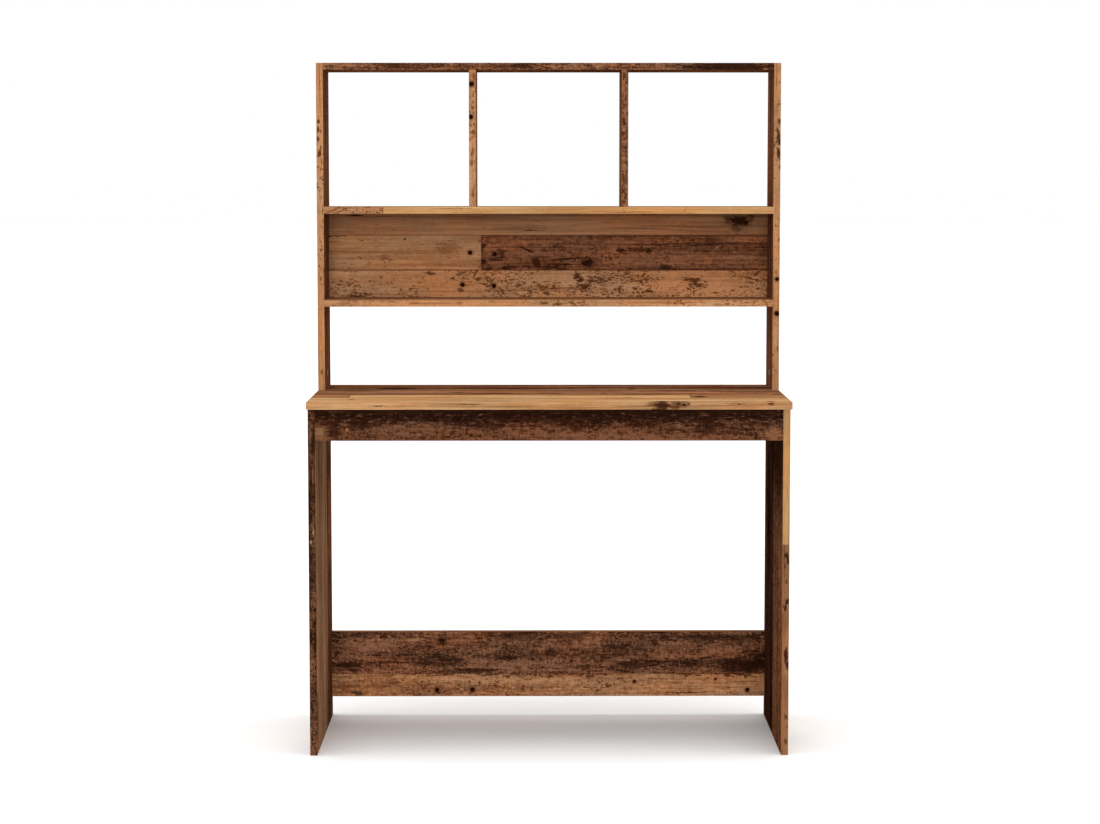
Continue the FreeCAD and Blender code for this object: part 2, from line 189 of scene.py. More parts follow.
print("plank layout group with", len(lay_plank.nodes), "nodes")

# %% [markdown]
# Old wood, first its layers. A picture of old wood is a stack of noises, each with a stretch, a detail and
# a roughness of its own, and the table below lists them. The seed moves each plank to wood of its own, and
# a slow waver bends the long layers together. A strip of edging is bent round the panel's edge, so with
# Bend at one, depth counts as a part of length.

# %% Old wood: layers
LAYERS = {
    "waver": ((2.6, 8.0, 8.0), 2.0, 0.5),
    "bands": ((1.7, 26.0, 8.0), 4.0, 0.55),
    "streaks": ((3.2, 165.0, 45.0), 3.0, 0.65),
    "clouds": ((9.0, 20.0, 9.0), 3.0, 0.55),
    "crackle": ((60.0, 140.0, 60.0), 4.0, 0.76),
    "ticks": ((240.0, 70.0, 80.0), 2.0, 0.5),
    "drift": ((5.0, 20.0, 8.0), 4.0, 0.6),
    "hairs": ((3.4, 170.0, 40.0), 2.0, 0.5),
    "flecks": ((70.0, 190.0, 80.0), 3.0, 0.65),
}
SEED_STEP = (3.1, 0.73, 1.9)
WAVER = 0.016
old_wood, given, handed = effect(
    "old_wood",
    {"Place": "Vector", "Bend": "Float", "Rim": "Float", **PLANK_VALUES},
    {"Colour": "Color", "Height": "Float", "Roughness": "Float", "Ragged": "Float"},
)


def layer(name, place):
    stretch, detail, roughness = LAYERS[name]
    return noise(old_wood, place, stretch, detail, roughness)


along, across, through = parts(old_wood, given["Place"])
longer = number(old_wood, "MULTIPLY_ADD", through, given["Bend"], along)
flatter = number(old_wood, "MULTIPLY", through, number(old_wood, "SUBTRACT", 1.0, given["Bend"]))
seeds = joined(old_wood, given["Seed"], given["Seed"], given["Seed"])
spot = vector(old_wood, "MULTIPLY_ADD", seeds, SEED_STEP, joined(old_wood, longer, across, flatter))
waver = swing(old_wood, layer("waver", spot), WAVER)
bent = vector(old_wood, "ADD", spot, joined(old_wood, 0.0, waver))
bands, streaks = layer("bands", bent), layer("streaks", bent)
clouds, crackle = layer("clouds", spot), layer("crackle", bent)
print("layers of old wood:", ", ".join(LAYERS))

# %% [markdown]
# Old wood, next the grain. Bands, clouds and streaks move the colour between the plank's deep and light
# tones, and a slow drift turns it warmer or cooler. Contour lines of the bands look like growth rings that
# were cut lengthwise, which a wave texture can't give as freely. Hair cracks and pale flecks lie over them.

# %% Old wood: grain
SWINGS = {"bands": 1.9, "clouds": 0.9, "streaks": 3.8, "crackle": 5.2, "ticks": 2.2}
MIDDLE_LEVEL = 0.55
WARM, COOL, HUE_DRIFT = (1.08, 0.97, 0.88, 1.0), (0.93, 1.02, 1.11, 1.0), (0.33, 0.67)
RINGS, RING_WIDTH, RING_SHARE = 11.0, 0.2, 0.5
PEAKS, HAIR_SHARE, BLEACH = (0.60, 0.70), 0.45, (1.35, 1.45, 1.60)


def swung(name, value, by=1.0):
    return swing(old_wood, value, SWINGS[name], by)


def stained(share, strength, under, over):
    return blend(old_wood, number(old_wood, "MULTIPLY", share, strength), under, over)


level = total(
    old_wood, MIDDLE_LEVEL, swung("bands", bands), swung("clouds", clouds),
    swung("streaks", streaks, given["Grain"]), swung("crackle", crackle, given["Mottle"]),
    swung("ticks", layer("ticks", spot), given["Mottle"]),
)
level = number(old_wood, "MINIMUM", number(old_wood, "MAXIMUM", level, 0.0), 1.0)
colour = blend(old_wood, level, given["Deep"], given["Light"])
hue = blend(old_wood, ramp(old_wood, layer("drift", spot), *HUE_DRIFT), WARM, COOL)
colour = vector(old_wood, "MULTIPLY", colour, hue)

contour = number(old_wood, "PINGPONG", number(old_wood, "MULTIPLY", bands, RINGS), 0.5)
rings = ramp(old_wood, contour, 0.0, RING_WIDTH, low=RING_SHARE, high=0.0)
colour = stained(rings, given["Grain"], colour, given["Deep"])
hairs = ramp(old_wood, layer("hairs", bent), *PEAKS)
colour = stained(hairs, HAIR_SHARE, colour, given["Char"])
flecks = ramp(old_wood, layer("flecks", bent), *PEAKS)
pale = vector(old_wood, "MULTIPLY", given["Light"], BLEACH)
colour = stained(flecks, given["Mottle"], colour, pale)
print("grain laid with", len(old_wood.nodes), "nodes")

# %% [markdown]
# Old wood, then the worm. Beetles leave holes in swarms: a slow noise says where a swarm is, and the
# plank's own worm value says how thick. Sound wood has a low value and shows almost none. The round holes
# are Voronoi cells whose size is drawn by chance, with a ragged outline, since clean circles would look
# like polka dots. Nibbles, bites and dashes are three more noises that only come through where the crowd
# lifts them over a limit.

# %% Old wood: worm holes
LAYERS.update({
    "ragged": ((62.0, 220.0, 95.0), 4.0, 0.8),
    "swarm": ((6.0, 16.0, 7.0), 3.0, 0.5),
    "nibbles": ((110.0, 190.0, 100.0), 3.0, 0.68),
    "bites": ((46.0, 84.0, 60.0), 4.0, 0.72),
    "dashes": ((50.0, 290.0, 90.0), 2.0, 0.5),
})
LIFTS = {
    "nibbles": (spot, 0.13, 0.67, 0.70),
    "bites": (spot, 0.085, 0.68, 0.70),
    "dashes": (bent, 0.05, 0.67, 0.73),
}
WORM_LURE, CROWDED, WORMY = 0.35, (0.56, 0.90), 0.25
HOLES_PER_METRE = (190.0, 250.0, 120.0)
HOLE_SIZE, HOLE_SWING, HOLE_RIM = 0.55, 0.8, (-0.08, 0.02)
INK_RANGE, FULL_INK, THIN_INK = (0.35, 0.65), 0.95, 0.70

ragged = layer("ragged", spot)
lured = number(old_wood, "MULTIPLY_ADD", given["Worm"], WORM_LURE, layer("swarm", spot))
crowd = ramp(old_wood, lured, *CROWDED)
wires = {"Vector": stretched(old_wood, spot, HOLES_PER_METRE), "Scale": 1.0}
holes = add(old_wood, "ShaderNodeTexVoronoi", wires).outputs
outline = number(old_wood, "ADD", holes["Distance"], swing(old_wood, ragged, HOLE_SWING))
bore = number(old_wood, "MULTIPLY", holes["Color"], number(old_wood, "MULTIPLY", crowd, HOLE_SIZE))
eaten = ramp(old_wood, number(old_wood, "SUBTRACT", outline, bore), *HOLE_RIM, low=1.0, high=0.0)
for name, (place, lift, start, end) in LIFTS.items():
    lifted = number(old_wood, "MULTIPLY_ADD", crowd, lift, layer(name, place))
    eaten = number(old_wood, "MAXIMUM", eaten, ramp(old_wood, lifted, start, end))
eaten = number(old_wood, "MULTIPLY", eaten, ramp(old_wood, given["Worm"], 0.0, WORMY))
ink = ramp(old_wood, ragged, *INK_RANGE, low=FULL_INK, high=THIN_INK)
colour = stained(eaten, ink, colour, given["Char"])
print("worm holes added,", len(old_wood.nodes), "nodes")

# %% [markdown]
# Old wood, last the burns and joints. Burnt or dirty areas end in ragged tongues along the grain, and they
# creep in from the plank's edges, so the distance to the rim is added to the noise before it meets the
# limit. The joint itself is a dark line that fades within three millimetres. The group hands on the
# colour, a height for the embossing, the roughness, and the ragged value that the marks need.

# %% Old wood: burns and joints
LAYERS["burn"] = ((3.4, 14.0, 6.0), 5.0, 0.70)
FRAY_WIDTH, FRAY_LIFT = 0.018, 0.11
TONGUE_STREAKS, TONGUE_CRACKLE = 0.25, 0.8
UNBURNT, BURN_GAIN, BURN_RIM, BURN_SHARE = 0.76, -0.42, (-0.02, 0.05), 0.9
JOINT_RIM, JOINT_SHARE, JOINT_DEPTH = (0.0004, 0.0026), 0.7, -0.8
STREAK_HEIGHT = 0.6
MATT, MATT_DRIFT, BURNT_MATT = 0.62, 0.16, 0.08

frayed = ramp(old_wood, given["Rim"], 0.0, FRAY_WIDTH, low=FRAY_LIFT, high=0.0)
tongues = total(
    old_wood, layer("burn", bent), frayed,
    swing(old_wood, streaks, TONGUE_STREAKS), swing(old_wood, crackle, TONGUE_CRACKLE),
)
limit = number(old_wood, "MULTIPLY_ADD", given["Charring"], BURN_GAIN, UNBURNT)
charred = ramp(old_wood, number(old_wood, "SUBTRACT", tongues, limit), *BURN_RIM)
colour = stained(charred, BURN_SHARE, colour, given["Char"])
joint = ramp(old_wood, given["Rim"], *JOINT_RIM, low=1.0, high=0.0)
colour = stained(joint, JOINT_SHARE, colour, given["Char"])

matt = number(old_wood, "MULTIPLY_ADD", clouds, MATT_DRIFT, MATT)
sunk = number(old_wood, "MULTIPLY_ADD", joint, JOINT_DEPTH, swing(old_wood, streaks, STREAK_HEIGHT))
old_wood.links.new(colour, handed["Colour"])
old_wood.links.new(sunk, handed["Height"])
old_wood.links.new(number(old_wood, "MULTIPLY_ADD", charred, BURNT_MATT, matt), handed["Roughness"])
old_wood.links.new(swing(old_wood, ragged, 1.0), handed["Ragged"])
print("old wood group with", len(old_wood.nodes), "nodes")

# %% [markdown]
# Round marks. Nail holes and knots are what the eye remembers of such a print. Each is a small group that
# takes the colour so far and a place on the panel in metres, and hands the colour on. Reach is the distance
# from the middle in radii. The old wood's own ragged value is added to it, so that no outline is a drawn
# circle. A nail hole has a rust stain round it, and a knot has rings.

# %% Nail holes and knots
MARK = {"Colour": "Color", "Place": "Vector", "Ragged": "Float", "Centre": "Vector", "Size": "Vector"}
RUST, HOLE, KNOT_HEART = "#3a2014", "#240c06", "#210d06"
KNOT_RINGS = 2.6


def reach_of(tree, given, raggedness):
    flat = vector(tree, "DIVIDE", vector(tree, "SUBTRACT", given["Place"], given["Centre"]), given["Size"])
    return number(tree, "MULTIPLY_ADD", given["Ragged"], raggedness, vector(tree, "LENGTH", flat))


nail_hole, given, handed = effect("nail_hole", MARK, {"Colour": "Color"})
reach = reach_of(nail_hole, given, raggedness=0.7)
stain = ramp(nail_hole, reach, start=0.9, end=2.2, low=0.40, high=0.0)
soiled = blend(nail_hole, stain, given["Colour"], tone(RUST))
hole = ramp(nail_hole, reach, start=0.80, end=1.05, low=1.0, high=0.0)
nail_hole.links.new(blend(nail_hole, hole, soiled, tone(HOLE)), handed["Colour"])

knot, given, handed = effect("knot", {**MARK, "Depth": "Float"}, {"Colour": "Color"})
reach = reach_of(knot, given, raggedness=1.8)
circles = number(knot, "PINGPONG", number(knot, "MULTIPLY", reach, KNOT_RINGS), 0.5)
halo = number(knot, "MULTIPLY", ramp(knot, reach, start=0.7, end=1.7, low=1.3, high=0.0), circles)
heart = ramp(knot, reach, start=0.55, end=0.95, low=1.0, high=0.0)
share = number(knot, "MULTIPLY", number(knot, "MAXIMUM", heart, halo), given["Depth"])
knot.links.new(blend(knot, share, given["Colour"], tone(KNOT_HEART)), handed["Colour"])
print("round marks:", nail_hole.name, knot.name)

# %% [markdown]
# Smudges, pits and splits. A smudge is a stain with no clear outline: the ragged value moves its rim by
# more than the stain's own radius. Pits are the same with a rim so ragged that only a cluster of specks is
# left. A split is a crack that runs along the grain or slants off it, is widest in the middle and tapers to
# nothing at both ends.

# %% Smudges, pits and splits
WANDER, SPLIT_FADE = 0.010, 0.3
SPLIT_RIM, SPLIT_SHARE = (-0.0004, 0.0006), 0.92


def spread_mark(name, raggedness, start, end):
    group, given, handed = effect(name, {**MARK, "Ink": "Color", "Depth": "Float"}, {"Colour": "Color"})
    share = ramp(group, reach_of(group, given, raggedness), start, end, low=1.0, high=0.0)
    share = number(group, "MULTIPLY", share, given["Depth"])
    group.links.new(blend(group, share, given["Colour"], given["Ink"]), handed["Colour"])
    return group


smudge = spread_mark("smudge", raggedness=3.2, start=0.55, end=1.05)
pits = spread_mark("pits", raggedness=7.0, start=0.8, end=1.3)

split, given, handed = effect("split", {**MARK, "Ink": "Color", "Slope": "Float"}, {"Colour": "Color"})
shift = parts(split, vector(split, "SUBTRACT", given["Place"], given["Centre"]))
size = parts(split, given["Size"])
wander = number(split, "MULTIPLY", given["Ragged"], WANDER)
course = number(split, "MULTIPLY_ADD", shift[0], given["Slope"], wander)
aside = number(split, "ABSOLUTE", number(split, "SUBTRACT", shift[1], course))
run = number(split, "DIVIDE", shift[0], size[0])
taper = number(split, "SUBTRACT", 1.0, number(split, "MULTIPLY", run, run))
taper = number(split, "MAXIMUM", taper, 0.0)
off_face = number(split, "ABSOLUTE", number(split, "DIVIDE", shift[2], size[2]))
gap = number(split, "SUBTRACT", number(split, "MULTIPLY", size[1], taper), aside)
gap = number(split, "SUBTRACT", gap, off_face)
fade = ramp(split, taper, 0.0, SPLIT_FADE, low=0.0, high=SPLIT_SHARE)
share = number(split, "MULTIPLY", ramp(split, gap, *SPLIT_RIM), fade)
split.links.new(blend(split, share, given["Colour"], given["Ink"]), handed["Colour"])
print("spread marks:", smudge.name, pits.name, split.name)

# %% [markdown]
# Chipboard. Where a panel is cut or drilled and no strip closes it, the core shows: pressed chips, coarse
# and pale. Voronoi cells give the chips, each with its own tone. The group takes the colour of the print
# and puts chips in its place wherever a point lies deeper in the panel than the paper.

# %% Chipboard group
CHIPS_PER_METRE = (330.0, 430.0, 520.0)
CHIP_DARK, CHIP_PALE, CHIP_GAP = "#8f6a42", "#cda873", "#5f4328"
chipboard, given, handed = effect(
    "chipboard",
    {"Colour": "Color", "Place": "Vector", "Middle": "Float", "Reach": "Float"}, {"Colour": "Color"},
)
wires = {"Vector": vector(chipboard, "MULTIPLY", given["Place"], CHIPS_PER_METRE), "Scale": 1.0}
chips = add(chipboard, "ShaderNodeTexVoronoi", wires).outputs
flake = blend(chipboard, chips["Color"], tone(CHIP_DARK), tone(CHIP_PALE))
gaps = ramp(chipboard, chips["Distance"], start=0.35, end=0.75, low=0.0, high=0.55)
core = blend(chipboard, gaps, flake, tone(CHIP_GAP))
depth = parts(chipboard, given["Place"])[2]
inner = number(chipboard, "COMPARE", depth, given["Middle"], given["Reach"])
chipboard.links.new(blend(chipboard, inner, given["Colour"], core), handed["Colour"])
print("chipboard group with", len(chipboard.nodes), "nodes")

# %% [markdown]
# Tones of the print. A few ages of wood cover the whole desk, from freshly sawn honey to nearly black. Each
# has a light and a deep tone between which the grain moves, a char tone for dirt and burns, and then how
# much grain, worm, charring and mottling it has, in this order.

# %% Tones
WOOD = {
    "honey": ("#d4a674", "#9f7147", "#54321c", 0.85, 0.08, 0.05, 0.12),
    "dull honey": ("#c6986a", "#926740", "#4e2e19", 0.75, 0.08, 0.05, 0.12),
    "pale honey": ("#c99c69", "#a2764a", "#5a3720", 0.60, 0.10, 0.05, 0.12),
    "sawn honey": ("#bd9160", "#956b42", "#5a3720", 0.60, 0.10, 0.05, 0.12),
    "straw": ("#b9875d", "#8d6240", "#4c2b16", 0.50, 0.45, 0.08, 0.25),
    "wormy straw": ("#c08d62", "#966a45", "#642f12", 0.40, 0.68, 0.10, 0.35),
    "tan": ("#ae7f59", "#805434", "#47260f", 0.60, 0.30, 0.10, 0.18),
    "wormy tan": ("#c08c63", "#986540", "#4b210d", 0.40, 0.84, 0.12, 0.25),
    "worn tan": ("#c48f64", "#845537", "#481f0d", 0.50, 0.55, 0.25, 0.55),
    "brown": ("#986b49", "#724b32", "#3a2115", 0.70, 0.14, 0.10, 0.12),
    "streaky brown": ("#b98b67", "#735039", "#35190f", 1.20, 0.20, 0.12, 0.15),
    "streaky red": ("#a67450", "#532e1c", "#2a130a", 1.05, 0.20, 0.20, 0.20),
    "worn brown": ("#936243", "#4c2c1b", "#25120a", 0.45, 0.60, 0.28, 0.85),
    "russet": ("#8e5b3e", "#462616", "#200e07", 0.60, 0.50, 0.30, 0.40),
    "mottled": ("#9c684a", "#462717", "#200f08", 0.45, 0.60, 0.42, 0.75),
    "scorched": ("#7b5138", "#422417", "#1f0e08", 0.40, 0.45, 0.28, 0.85),
    "mossy": ("#84563a", "#1f0f08", "#160a05", 0.40, 0.45, 0.48, 0.95),
    "dusk": ("#533325", "#200f09", "#140703", 0.50, 0.40, 0.40, 0.70),
}
print("tones:", ", ".join(WOOD))

# %% [markdown]
# Planks and marks in words. A panel's print is described as a list of planks, from first to last, and lists
# of marks for its faces. Places are metres along the grain and across it, in the desk's own coordinates:
# from the middle of the desk, and from the floor. The first plank covers the whole panel, and each later
# one covers its own box. Three or more marks of one kind and ink in a row are written as rows of numbers.

# %% Planks and marks
WIDE = 4.0
ALL = (-WIDE, WIDE)
SOOT, CRACK = "#2a140b", "#24110a"


def plank(wood, seed, along=ALL, across=ALL, face=None):
    light, deep, char, *amounts = WOOD[wood]
    values = (tone(light), tone(deep), tone(char), *amounts, seed)
    return dict(zip(PLANK_VALUES, values)), along, across, face


def nail(along, across, radius=0.0055):
    return nail_hole, (along, across, radius, radius), {}


def knot_at(along, across, length, width, depth=0.95):
    return knot, (along, across, length, width), {"Depth": depth}


def smudge_at(along, across, length, width, depth=0.8, ink=SOOT):
    return smudge, (along, across, length, width), {"Depth": depth, "Ink": tone(ink)}


def pits_at(along, across, length, width, depth=0.8, ink=SOOT):
    return pits, (along, across, length, width), {"Depth": depth, "Ink": tone(ink)}


def split_at(along, across, length, width=0.0012, slope=0.0, ink=CRACK):
    return split, (along, across, length, width), {"Slope": slope, "Ink": tone(ink)}


def each(mark, ink, *rows):
    return [mark(*row, ink=ink) for row in rows]


print("a plank is", len(plank("tan", 0.0)[0]), "values and a box")

# %% [markdown]
# Faces. A Mapping node turns the object's own coordinates so that the first runs along the grain, the
# second across it and the third through the panel. Which face a plank or a mark lies on is then a matter of
# depth, and the depth is read off the panel's own corners, so it follows the frame when a size changes. A
# mark that names no face goes right through.

# %% Faces
TURNS = {
    "front": (-math.pi / 2, 0.0, 0.0),
    "flat": (0.0, 0.0, 0.0),
    "upright": (0.0, math.pi / 2, 0.0),
    "post": (math.pi / 2, 0.0, math.pi / 2),
}
HIGH_FACES, LOW_FACES = ("top", "front", "left"), ("under", "rear", "right")
MARK_DEPTH, ENDLESS = 0.008, 1000.0


def depths_of(node, turn):
    turned = Euler(TURNS[turn]).to_matrix()
    depths = [(turned @ corner.co).z for corner in pieces[node].data.vertices]
    return min(depths), max(depths)


def by_face(face, on_high, on_low, otherwise):
    return on_high if face in HIGH_FACES else on_low if face in LOW_FACES else otherwise


def lay_planks(tree, place, planks, middle):
    (values, *_), *others = planks
    values = {"Rim": WIDE, **values}
    for wood, along, across, face in others:
        box = (along, across, by_face(face, (middle, WIDE), (-WIDE, middle), ALL))
        wires = {"Under " + label: values[label] for label in PLANK_VALUES}
        wires["Middle"] = [(low + high) / 2 for low, high in box]
        wires["Half"] = [(high - low) / 2 for low, high in box]
        values = place_effect(tree, lay_plank, {"Place": place, "Rim": values["Rim"], **wires, **wood})
    return {label: values[label] for label in ("Rim", *PLANK_VALUES)}


def draw_marks(tree, place, grown, marks, low, high):
    colour = grown["Colour"]
    for face, drawn in marks.items():
        depth, reach = by_face(face, (high, MARK_DEPTH), (low, MARK_DEPTH), (0.0, ENDLESS))
        for group, (along, across, length, width), values in drawn:
            wires = {"Colour": colour, "Place": place, "Ragged": grown["Ragged"], **values}
            wires.update(Centre=(along, across, depth), Size=(length, width, reach))
            colour = place_effect(tree, group, wires)["Colour"]
    return colour


print("the hutch back lies between depths", [round(d, 4) for d in depths_of("hutch_back", "front")])

# %% [markdown]
# One printed finish. The function wires place, planks, old wood and marks into a material, and ends in matt
# paper with a trace of embossed grain. The paper has no gloss at all, because at a flat angle even a little
# would lay a grey veil over the worktop. Inside a panel, deeper than the paper, chipboard takes over.

# %% Print builder
PAPER = 0.0002


def new_finish(name):
    material = bpy.data.materials.new(name)
    material.use_nodes = True
    return material, material.node_tree, add(material.node_tree, "ShaderNodeTexCoord").outputs["Object"]


def end_in(tree, colour, roughness, height, strength, depth):
    shader = tree.nodes["Principled BSDF"].inputs
    wires = {"Height": height, "Strength": strength, "Distance": depth}
    relief = add(tree, "ShaderNodeBump", wires).outputs[0]
    for label, value in (("Base Color", colour), ("Roughness", roughness), ("Normal", relief)):
        tree.links.new(value, shader[label])
    return shader


def dress(node, material):
    pieces[node].data.materials.clear()
    pieces[node].data.materials.append(material)
    print(node, "wears", material.name)


def print_on(node, turn, planks, **marks):
    material, tree, point = new_finish(node + "_print")
    place = add(tree, "ShaderNodeMapping", {"Vector": point, "Rotation": TURNS[turn]}).outputs[0]
    low, high = depths_of(node, turn)
    middle, reach = (low + high) / 2, (high - low) / 2 - PAPER
    is_strip = node.endswith("_edging")
    wood = lay_planks(tree, place, planks, middle)
    grown = place_effect(tree, old_wood, {"Place": place, "Bend": float(is_strip), **wood})
    colour = draw_marks(tree, place, grown, marks, low, high)
    if not is_strip:
        wires = {"Colour": colour, "Place": place, "Middle": middle, "Reach": reach}
        colour = place_effect(tree, chipboard, wires)["Colour"]
    shader = end_in(tree, colour, grown["Roughness"], grown["Height"], strength=0.25, depth=0.0004)
    shader["Specular IOR Level"].default_value = 0.0
    dress(node, material)


print("boards to print:", sum(node.endswith("_edging") for node in pieces), "with edging strips")

# %% [markdown]
# Hutch back. The panel behind the box shelf is the one that the eye goes to: brown boards on top, a light
# and a dark plank end to end in the middle, and a worm-eaten tan one below with an old scar in it. The
# marks sit where the photograph has them. The nails go right through, so they show on the rear as well.

# %% Hutch back
SCAR, FAINT, BLUSH = "#43200f", "#6d3c22", "#8a5b41"
print_on("hutch_back", "front", [
    plank("brown", 1.0),
    plank("tan", 2.0, along=(-WIDE, -0.151), across=(1.021, 1.100)),
    plank("russet", 3.0, along=(-0.151, WIDE), across=(1.021, 1.100)),
    plank("wormy tan", 4.0, across=(-WIDE, 1.021)),
    plank("mottled", 4.3, along=(-0.22, WIDE), across=(1.045, WIDE), face="rear"),
    plank("straw", 4.6, across=(-WIDE, 1.045), face="rear"),
], both=[
    nail(-0.177, 1.060), nail(-0.121, 1.057), nail(-0.194, 0.988), nail(-0.123, 0.985),
], front=[
    knot_at(0.430, 1.132, 0.030, 0.015),
    *each(smudge_at, SOOT, (0.424, 1.114, 0.014, 0.009, 0.6), (0.408, 1.137, 0.014, 0.009, 0.7),
          (0.458, 1.139, 0.011, 0.006, 0.7)),
    nail(0.446, 1.127, 0.005), split_at(-0.033, 1.110, 0.030), split_at(-0.437, 1.144, 0.024, 0.002),
    nail(-0.324, 1.091, 0.002), pits_at(-0.226, 1.072, 0.024, 0.014, 0.55, FAINT),
    pits_at(-0.370, 1.050, 0.010, 0.005, 0.6, FAINT), pits_at(-0.108, 1.058, 0.008, 0.010, 0.7),
    pits_at(-0.121, 1.045, 0.010, 0.006, 0.7),
    *each(smudge_at, SOOT, (-0.136, 1.025, 0.012, 0.005), (-0.090, 1.027, 0.020, 0.005),
          (-0.029, 1.039, 0.014, 0.011, 0.85), (-0.008, 1.026, 0.018, 0.004, 0.7)),
    split_at(-0.048, 1.067, 0.018, 0.0025, -0.42), knot_at(0.089, 1.038, 0.018, 0.014),
    split_at(0.040, 1.046, 0.045, 0.002, 0.05), split_at(0.030, 1.034, 0.045, 0.0016),
    *each(smudge_at, SOOT, (0.163, 1.065, 0.011, 0.007, 0.9), (0.195, 1.065, 0.034, 0.005, 0.6),
          (0.227, 1.064, 0.009, 0.007, 0.9)),
    split_at(0.324, 1.076, 0.085, 0.0016, 0.03), smudge_at(0.264, 1.028, 0.016, 0.006, 0.85),
    smudge_at(0.370, 1.089, 0.020, 0.007, 0.5), pits_at(-0.267, 1.015, 0.010, 0.004, 0.85, SCAR),
    pits_at(-0.198, 0.978, 0.006, 0.004, 0.8, SCAR), smudge_at(-0.439, 0.962, 0.030, 0.003),
    smudge_at(-0.004, 0.968, 0.010, 0.005),
    *each(pits_at, SCAR, (0.064, 1.008, 0.007, 0.008, 0.95), (0.072, 0.996, 0.007, 0.009, 0.95),
          (0.084, 0.986, 0.012, 0.007, 0.90), (0.115, 0.998, 0.024, 0.008, 0.6)),
    smudge_at(0.128, 0.987, 0.020, 0.012, 0.4, BLUSH), pits_at(0.326, 0.997, 0.020, 0.007, 0.85, SCAR),
    pits_at(0.340, 0.987, 0.014, 0.007, 0.85, SCAR), smudge_at(0.379, 0.970, 0.008, 0.003),
    pits_at(0.229, 0.973, 0.008, 0.005, 0.85, SCAR), split_at(0.456, 1.002, 0.030, 0.001, -0.23),
])

# %% [markdown]
# Worktop. From the front: a honey plank over the full width, then a shorter honey plank between two tan
# ones, then reddish streaked boards, the last of them under the hutch. The strip round the edge carries
# the honey print on, with the dark knot that runs over the edge.

# %% Worktop
BURNT, RED, DIM = "#2c140b", "#4a1f10", "#9a6a3e"
print_on("worktop", "flat", [
    plank("streaky red", 5.0),
    plank("streaky red", 6.0, across=(-0.044, 0.075)),
    plank("russet", 7.0, across=(0.118, 0.150)),
    plank("tan", 8.0, along=(-WIDE, -0.430), across=(-0.115, -0.044)),
    plank("honey", 9.0, along=(-0.430, 0.305), across=(-0.115, -0.044)),
    plank("tan", 10.0, along=(0.305, WIDE), across=(-0.115, -0.044)),
    plank("honey", 11.0, across=(-WIDE, -0.115)),
    plank("brown", 11.5, face="under"),
    plank("tan", 11.7, across=(-0.06, 0.09), face="under"),
], top=[
    smudge_at(0.236, -0.212, 0.018, 0.024, 0.95, BURNT),
    *each(smudge_at, RED, (0.266, -0.207, 0.030, 0.018, 0.55), (0.285, -0.214, 0.011, 0.010, 0.7),
          (0.258, -0.196, 0.014, 0.005, 0.7), (0.216, -0.210, 0.012, 0.014, 0.5)),
    smudge_at(0.325, -0.088, 0.020, 0.020, 0.95),
    *each(smudge_at, BURNT, (0.272, -0.200, 0.006, 0.008, 0.9), (0.284, -0.206, 0.005, 0.008, 0.9),
          (0.293, -0.196, 0.005, 0.006, 0.85), (0.262, -0.215, 0.006, 0.008, 0.85)),
    smudge_at(-0.342, 0.120, 0.050, 0.030),
    *each(smudge_at, RED, (-0.060, 0.120, 0.100, 0.020, 0.7), (-0.107, 0.000, 0.045, 0.010, 0.6),
          (0.070, 0.140, 0.100, 0.015, 0.75), (0.005, 0.000, 0.035, 0.012, 0.7)),
    smudge_at(0.184, 0.120, 0.012, 0.040, 0.5), smudge_at(0.303, 0.125, 0.030, 0.012, 0.5),
    smudge_at(0.430, 0.140, 0.050, 0.012, 0.5, RED),
    *each(smudge_at, DIM, (-0.300, -0.170, 0.250, 0.010, 0.4), (0.100, -0.155, 0.220, 0.012, 0.4),
          (0.420, -0.160, 0.150, 0.010, 0.4), (-0.100, -0.190, 0.200, 0.008, 0.35),
          (-0.200, -0.075, 0.180, 0.008, 0.35), (0.150, -0.060, 0.150, 0.008, 0.35)),
    split_at(0.390, -0.196, 0.050, 0.003), smudge_at(0.465, -0.200, 0.010, 0.010, 0.8, RED),
    nail(-0.420, -0.150), nail(0.120, -0.005), knot_at(-0.200, 0.020, 0.022, 0.010, 0.85),
])
print_on("worktop_edging", "front", [plank("dull honey", 11.0)], strip=[
    smudge_at(0.236, 0.753, 0.019, 0.013, 0.95, BURNT),
    *each(smudge_at, RED, (0.216, 0.756, 0.014, 0.006, 0.6), (0.268, 0.756, 0.026, 0.006, 0.7),
          (0.262, 0.749, 0.016, 0.004, 0.7), (0.284, 0.753, 0.010, 0.004, 0.7)),
    split_at(0.390, 0.757, 0.030), smudge_at(0.465, 0.757, 0.008, 0.004, 0.8, RED),
    split_at(-0.356, 0.753, 0.024), split_at(-0.167, 0.756, 0.028),
    *each(smudge_at, BURNT, (0.270, 0.757, 0.006, 0.003, 0.9), (0.283, 0.755, 0.005, 0.003, 0.9),
          (0.292, 0.757, 0.005, 0.002, 0.85)),
])

# %% [markdown]
# Apron and stretcher. The apron under the worktop is a scorched plank with a black stain along its upper
# half, which ends in a ragged line. The stretcher near the floor is two planks: a dark, scratched one with
# burnt patches over a lighter one with nail holes.

